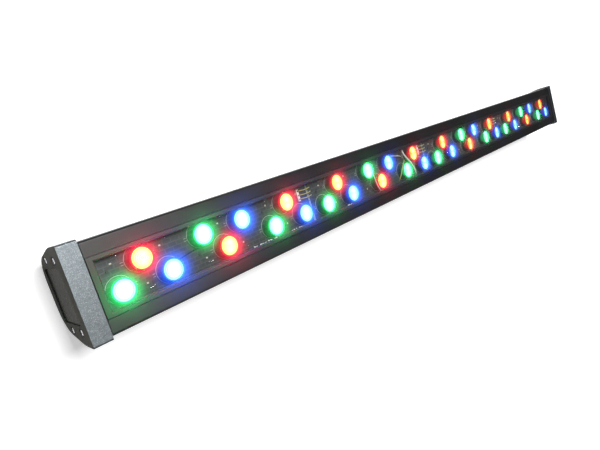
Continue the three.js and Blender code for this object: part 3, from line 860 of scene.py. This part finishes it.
def add_light_print(parts, x, y):
    """A printed ring round a light, with a pair of ticks on each side."""
    line = 0.35 * MM
    parts.append((ring(12 * MM, line, PRINT_HEIGHT), at(x, y, BOARD_TOP)))
    for side in (-1, 1):
        for offset in (-1.2, 1.2):
            tick = block((2.6 * MM, line), PRINT_HEIGHT)
            parts.append((tick, at(x + side * 14.2 * MM, y + offset * MM, BOARD_TOP)))


def add_light_parts(rng, chips, bodies, solder, x, y):
    """Small parts and solder joints in the gap across the board from a light."""
    away = -1 if y > 0 else 1
    spread = rng.uniform(-1.5, 1.5) * MM
    turn = rng.choice((0, math.pi / 2))
    row = away * 13.5 * MM
    chip = block((2.0 * MM, 1.25 * MM), 0.5 * MM)
    chips.append((chip, at(x + spread, row, BOARD_TOP, turn)))
    for side in (-1, 1):
        reach = side * 1.15 * MM
        dx, dy = (reach, 0) if turn == 0 else (0, reach)
        joint = block((0.7 * MM, 1.3 * MM), 0.52 * MM)
        solder.append((joint, at(x + spread + dx, row + dy, BOARD_TOP, turn)))
    body = block((2.2 * MM, 2.2 * MM), 0.9 * MM)
    bodies.append((body, at(x - 5 * MM, away * 8 * MM, BOARD_TOP)))
    for index in range(rng.choice((3, 4))):
        y = away * (18.5 + rng.uniform(-0.8, 0.8)) * MM
        blob = dome(rng.uniform(0.55, 0.85) * MM, 0.55 * MM)
        solder.append((blob, at(x + (2 + 2.1 * index) * MM, y, BOARD_TOP)))


def make_board_details(number):
    low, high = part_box(f"led_board_{number}")
    rng = random.Random(40 + number)
    prints, chips, bodies, solder = [], [], [], []
    for _, _, x, y in light_places():
        if low.x < x < high.x:
            add_light_print(prints, x, y)
            add_light_parts(rng, chips, bodies, solder, x, y)
    for edge, inward in ((low.x, 1), (high.x, -1)):
        stripe = block((0.5 * MM, 46 * MM), PRINT_HEIGHT)
        prints.append((stripe, at(edge + inward * 0.5 * MM, 0, BOARD_TOP)))
    groups = (("print", prints, "board_print"), ("ceramic", chips, "chip_ceramic"),
              ("chips", bodies, "chip_body"), ("solder", solder, "solder"))
    for name, parts, material in groups:
        piece = new_object(f"board_{name}_{number}", joined(f"board_{name}", parts))
        dress(piece, material)


def smooth_path(points, per_span=6):
    """A Catmull-Rom curve through points."""
    path = []
    padded = [Vector(point) for point in [points[0]] + points + [points[-1]]]
    for a, b, c, d in zip(padded, padded[1:], padded[2:], padded[3:]):
        for step in range(per_span):
            t = step / per_span
            path.append(0.5 * (2 * b + (c - a) * t + (2 * a - 5 * b + 4 * c - d) * t * t
                               + (3 * b - a - 3 * c + d) * t ** 3))
    return path + [padded[-1]]


def tube(points, radius, sides=12):
    """A smooth wire through points, closed at both ends."""
    path = smooth_path(points)
    vertices, faces = [], []
    across = Vector((0, 0, 1)).cross(path[1] - path[0])
    across = across.normalized() if across.length > 1e-6 else Vector((1, 0, 0))
    for index, point in enumerate(path):
        along = (path[min(index + 1, len(path) - 1)] - path[max(index - 1, 0)]).normalized()
        across = (across - along * across.dot(along)).normalized()
        other = along.cross(across)
        for side in range(sides):
            angle = TAU * side / sides
            vertices.append(point + radius * (math.cos(angle) * across + math.sin(angle) * other))
    for index in range(len(path) - 1):
        for side in range(sides):
            here, there = index * sides + side, index * sides + (side + 1) % sides
            faces.append((here, there, there + sides, here + sides))
    last = (len(path) - 1) * sides
    faces += [tuple(reversed(range(sides))), tuple(range(last, last + sides))]
    mesh = mesh_from("tube", vertices, faces)
    smooth(mesh, 50)
    return mesh


def make_joint(number):
    """The header on one board, the pads on the next and three wires between them."""
    joint = middle(f"board_link_{number}").x + 1.75 * MM  # where the two boards meet
    post = joint - 16 * MM  # the header's middle
    tall = 2.6
    block_mesh = block((3.4 * MM, 13.5 * MM), tall * MM)
    header = [(block_mesh, at(post, 11 * MM, BOARD_TOP))]
    pads, wires = [], []
    for y in (15.6, 10.8, 6.4):
        pads.append((dome(1.1 * MM, 0.9 * MM), at(post, y * MM, BOARD_TOP + tall * MM)))
        pads.append((dome(1.2 * MM, 0.9 * MM), at(joint + 4.5 * MM, y * MM, BOARD_TOP)))
        loop = [(-15, y, tall), (-13.2, y, 4.4), (-8, y - 0.4, 5.0), (-1.5, y - 0.2, 4.5),
                (3.2, y, 2.2), (4.5, y, 0.6)]
        points = [(joint + px * MM, py * MM, BOARD_TOP + pz * MM) for px, py, pz in loop]
        wires.append((tube(points, 0.45 * MM), Matrix.Identity(4)))
    header = new_object(f"joint_header_{number}", joined("header", header))
    dress(header, "header_plastic")
    pads = new_object(f"joint_solder_{number}", joined("pads", pads))
    dress(pads, "solder")
    wires = new_object(f"joint_wires_{number}", joined("wires", wires))
    dress(wires, "wire_yellow", [f"board_link_{number}"])


# Each run of sealant smears: its start and end along X, and how many smears are in it.
SMEAR_RUNS = ((-0.352, -0.318, 9), (-0.300, -0.283, 5), (-0.205, -0.196, 3))


def make_sealant():
    """Smears of white sealant left along the lower inside edge of the seal."""
    rng = random.Random(12)
    blobs = []
    edge = -21 * MM
    for start, end, count in SMEAR_RUNS:
        for index in range(count):
            x = start + (end - start) * (index + rng.uniform(0.2, 0.8)) / count
            width, depth = rng.uniform(1.2, 3.4) * MM, rng.uniform(0.5, 1.3) * MM
            lump = dome(1.0, 0.25 * MM)
            for vertex in lump.vertices:
                reach = 1 + 0.25 * math.sin(3 * math.atan2(vertex.co.y, vertex.co.x) + index)
                vertex.co.x *= width / 2 * reach
                vertex.co.y *= depth / 2 * reach
            blobs.append((lump, at(x, edge + depth * 0.6, PANE_TOP, rng.uniform(-0.4, 0.4))))
    piece = new_object("sealant_smears", joined("sealant", blobs))
    dress(piece, "sealant_white")


# ---------------------------------------- connector end
# The profiles are pairs of radius and height in millimetres, with the front of each piece at 0.
PIN_PROFILE = [(0, -10.5), (1.2, -10.5), (1.2, -3.2), (0.8, -2.7), (0, -2.6)]
BUTTON_PROFILE = [(0, -4.6), (1.2, -4.6), (1.2, -3), (2.35, -3), (2.35, -2.2), (1.9, -2.2),
                  (1.9, -0.7), (1.75, -0.3), (1.35, -0.08), (0.9, 0), (0, -0.12)]


def socket_body(node, recess_radius, recess_depth, front_land):
    """A round panel socket whose front is at z = 0, with an open recess."""
    low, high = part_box(node)
    flange = (high.y - low.y) / 2 / MM
    back = (low.x - high.x) / MM
    return [(0, back), (10.2, back), (10.2, -0.6), (flange, -0.6), (flange, -0.25),
            (flange - 0.3, 0), (front_land, 0), (recess_radius, -0.5), (recess_radius, -recess_depth)]


def three_around(radius):
    return [(-radius, 0), (0, -radius), (radius, 0)]


def make_data_in():
    node = "data_in_socket"
    centre = middle(node)
    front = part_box(node)[1].x
    profile = socket_body(node, 8.2, 10, 8.8) + [(0, -10)]
    shell = turned(node, to_metres(profile), 56)
    parts = [(along_x(shell, front, centre.y, centre.z), Matrix.Identity(4))]
    for y, z in three_around(3.8 * MM):
        pin = turned("pin", to_metres(PIN_PROFILE), 20)
        parts.append((along_x(pin, front, centre.y + y, centre.z + z), Matrix.Identity(4)))
    piece = new_object("data_in", joined(node, parts))
    smooth(piece.data, 35)
    dress(piece, "socket_metal", [node])


def make_data_out():
    node = "data_out_socket"
    centre = middle(node)
    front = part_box(node)[1].x
    profile = socket_body(node, 9.5, 9.6, 9.8) + [(8.3, -9.6), (8.3, -0.7), (7.9, -0.4), (0, -0.4)]
    piece = new_object("data_out", turned(node, to_metres(profile), 56))
    along_x(piece.data, front, centre.y, centre.z)
    for y, z in three_around(3.8 * MM):
        hole = [circle(centre.y + y, centre.z + z, 1.5 * MM, 20)]
        combine(piece, prism("hole", hole, (front - 9.6 * MM, front + PAST)))
    slot = rectangle(-2.3, 2.3, 8.35, 10.35)
    slot = [(y + centre.y, z + centre.z) for y, z in slot]
    combine(piece, prism("slot", [slot], (front - 6.2 * MM, front + PAST)))
    smooth(piece.data, 35)
    dress(piece, "socket_black", [node])


def make_power_inlet():
    node = "power_inlet"
    centre = middle(node)
    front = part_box(node)[1].x
    profile = socket_body(node, 8.8, 9.8, 9.3)
    profile += [(6.2, -9.8), (6.2, -1.9), (5.9, -1.6), (0, -1.6)]
    piece = new_object("power_in", turned(node, to_metres(profile), 56))
    along_x(piece.data, front, centre.y, centre.z)
    for y, z in three_around(3.9):
        slot = rectangle(y - 0.9, y + 0.9, z - 1.4, z + 1.4)
        slot = [(a + centre.y, b + centre.z) for a, b in slot]
        combine(piece, prism("slot", [slot], (front - 8.8 * MM, front + PAST)))
    smooth(piece.data, 35)
    dress(piece, "inlet_plastic", [node])


def make_display():
    """A red-filtered block with unlit digits sunk in it."""
    node = "display_module"
    low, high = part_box(node)
    inset = 0.6 * MM
    face = rounded_rectangle((low.y, low.z), (high.y, high.z), 0.5 * MM)
    piece = new_object("display", prism(node, [face], (low.x, high.x)))
    window_low, window_high = (low.y + inset, low.z + inset), (high.y - inset, high.z - inset)
    window = rounded_rectangle(window_low, window_high, 0.3 * MM)
    combine(piece, prism("window", [window], (high.x - 0.35 * MM, high.x + PAST)))
    smooth(piece.data)
    dress(piece, "display_dark", [node])
    make_digits(middle(node), high.x)


def make_digits(centre, front):
    """Four figures of eight, each of seven small bars."""
    bars = []
    for digit in range(4):
        y = centre.y + (digit - 1.5) * 4.1 * MM
        for z in (-2.2, 0, 2.2):
            bars.append((y, centre.z + z * MM, 1.5, 0.32))
        for side in (-1, 1):
            for z in (-1.1, 1.1):
                bars.append((y + side * 1.05 * MM, centre.z + z * MM, 0.32, 1.5))
    parts = []
    for y, z, wide, tall in bars:
        face = rounded_rectangle((y - wide / 2 * MM, z - tall / 2 * MM),
                                 (y + wide / 2 * MM, z + tall / 2 * MM), 0.15 * MM, 3)
        parts.append((prism("bar", [face], (front - 0.4 * MM, front - 0.2 * MM)), Matrix.Identity(4)))
    piece = new_object("display_digits", joined("digits", parts))
    dress(piece, "digit_red")


def make_buttons():
    for number in (1, 2, 3, 4):
        node = f"menu_button_{number}"
        centre = middle(node)
        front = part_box(node)[1].x
        piece = new_object(f"button_{number}", turned(node, to_metres(BUTTON_PROFILE), 32))
        along_x(piece.data, front, centre.y, centre.z)
        smooth(piece.data, 35)
        dress(piece, "button_plastic", [node], node)


# ---------------------------------------- stage
CAMERA_PLACE = (-0.5926, 0.0508, 0.4377)
CAMERA_TURN = (6.228, -40.264, -22.329)  # degrees
CAMERA_LENS = 26.63
FLOOR_REACH = 5
FLOOR_HEIGHT = -0.2 * MM  # just clear of the caps


def make_camera():
    data = bpy.data.cameras.new("camera")
    data.sensor_width = 36
    data.lens = CAMERA_LENS
    data.clip_start = 0.01
    camera = bpy.data.objects.new("camera", data)
    camera.location = CAMERA_PLACE
    camera.rotation_euler = [math.radians(angle) for angle in CAMERA_TURN]
    bpy.context.scene.collection.objects.link(camera)
    bpy.context.scene.camera = camera


def make_floor():
    corners = [(x * FLOOR_REACH, y * FLOOR_REACH, 0) for x, y in ((-1, -1), (1, -1), (1, 1), (-1, 1))]
    mesh = mesh_from("floor", corners, [(0, 1, 2, 3)])
    floor = new_object("floor", mesh)
    floor.location.z = FLOOR_HEIGHT
    material, _, _, shader = new_material("floor_white")
    shader.inputs["Base Color"].default_value = (0.92, 0.92, 0.92, 1)
    shader.inputs["Roughness"].default_value = 0.9
    shader.inputs["Specular IOR Level"].default_value = 0.0
    shader.inputs["Emission Color"].default_value = (1, 1, 1, 1)
    shader.inputs["Emission Strength"].default_value = 0.42
    mesh.materials.append(material)


def make_area_light(name, place, aim, size, power):
    data = bpy.data.lights.new(name, "AREA")
    data.shape = "SQUARE"
    data.size = size
    data.energy = power
    lamp = bpy.data.objects.new(name, data)
    lamp.location = place
    direction = Vector(aim) - Vector(place)
    lamp.rotation_euler = direction.to_track_quat("-Z", "Y").to_euler()
    bpy.context.scene.collection.objects.link(lamp)
    return lamp


def make_world():
    world = bpy.data.worlds.new("world")
    world.use_nodes = True
    bpy.context.scene.world = world
    nodes, links = world.node_tree.nodes, world.node_tree.links
    background = nodes["Background"]
    background.inputs["Color"].default_value = (1, 1, 1, 1)
    path = nodes.new("ShaderNodeLightPath")
    strength = nodes.new("ShaderNodeMapRange")
    strength.inputs["To Min"].default_value = 0.07
    strength.inputs["To Max"].default_value = 1.0
    links.new(path.outputs["Is Camera Ray"], strength.inputs["Value"])
    links.new(strength.outputs["Result"], background.inputs["Strength"])


def make_stage():
    scene = bpy.context.scene
    scene.view_settings.view_transform = "Standard"
    make_camera()
    make_floor()
    make_world()
    glare = make_area_light("near_softbox", (0, -0.29, 2.2), (-0.45, 0, 0), 0.9, 14)
    outside = [bpy.data.objects[name] for name in ("housing", "cap_near", "cap_far")]
    glare.light_linking.receiver_collection = receivers("off_the_window", outside)
    make_area_light("key_softbox", (-0.1, 0.85, 2.6), (0, 0, 0), 1.0, 96)
    make_area_light("end_fill", (-0.95, -0.45, 0.25), (-0.52, -0.02, 0.03), 0.3, 0.8)


# ---------------------------------------- build
make_housing()
for end in ("near", "far"):
    make_cap(f"cap_{end}", f"end_cap_{end}", math.pi if end == "near" else 0)
    finish_node(f"end_gasket_{end}", "seal_rubber", 0.15 * MM)
make_screws()
# the bezel gets the lighter lip coat, a painted highlight round the window
finish_node("window_bezel", "lip_coat_painted_highlight", 0.25 * MM)
finish_node("window_seal", "seal_rubber", 0.15 * MM)
finish_node("window_pane", "window_clear")
make_lenses()
for number in range(1, BOARDS + 1):
    finish_node(f"led_board_{number}", "circuit_board", 0.1 * MM)
    make_board_details(number)
for number in range(1, BOARDS):
    make_joint(number)
for number, material in enumerate(("wire_cream", "wire_yellow", "wire_cream", "wire_cream"), 1):
    finish_node(f"feed_wire_{number}", material, rounds=2)
make_sealant()
for node in ("blank_plate_near", "connector_plate_far"):
    finish_node(node, "panel_black", 0.25 * MM)
make_data_in()
make_data_out()
make_power_inlet()
make_display()
make_buttons()
finish_node("data_out_latch", "screw_steel", 0.2 * MM)
for node in ("electronics_tray", "power_supply"):
    finish_node(node, "bare_aluminium", 0.3 * MM)
for node in ("driver_board", "control_board"):
    finish_node(node, "circuit_board", 0.2 * MM)
for node in ("mains_lead", "dc_lead", "data_lead", "control_lead"):
    finish_node(node, "lead_grey", rounds=1)
finish_node("led_feed_lead", "wire_cream", rounds=1)
make_stage()
make_spill_lights()
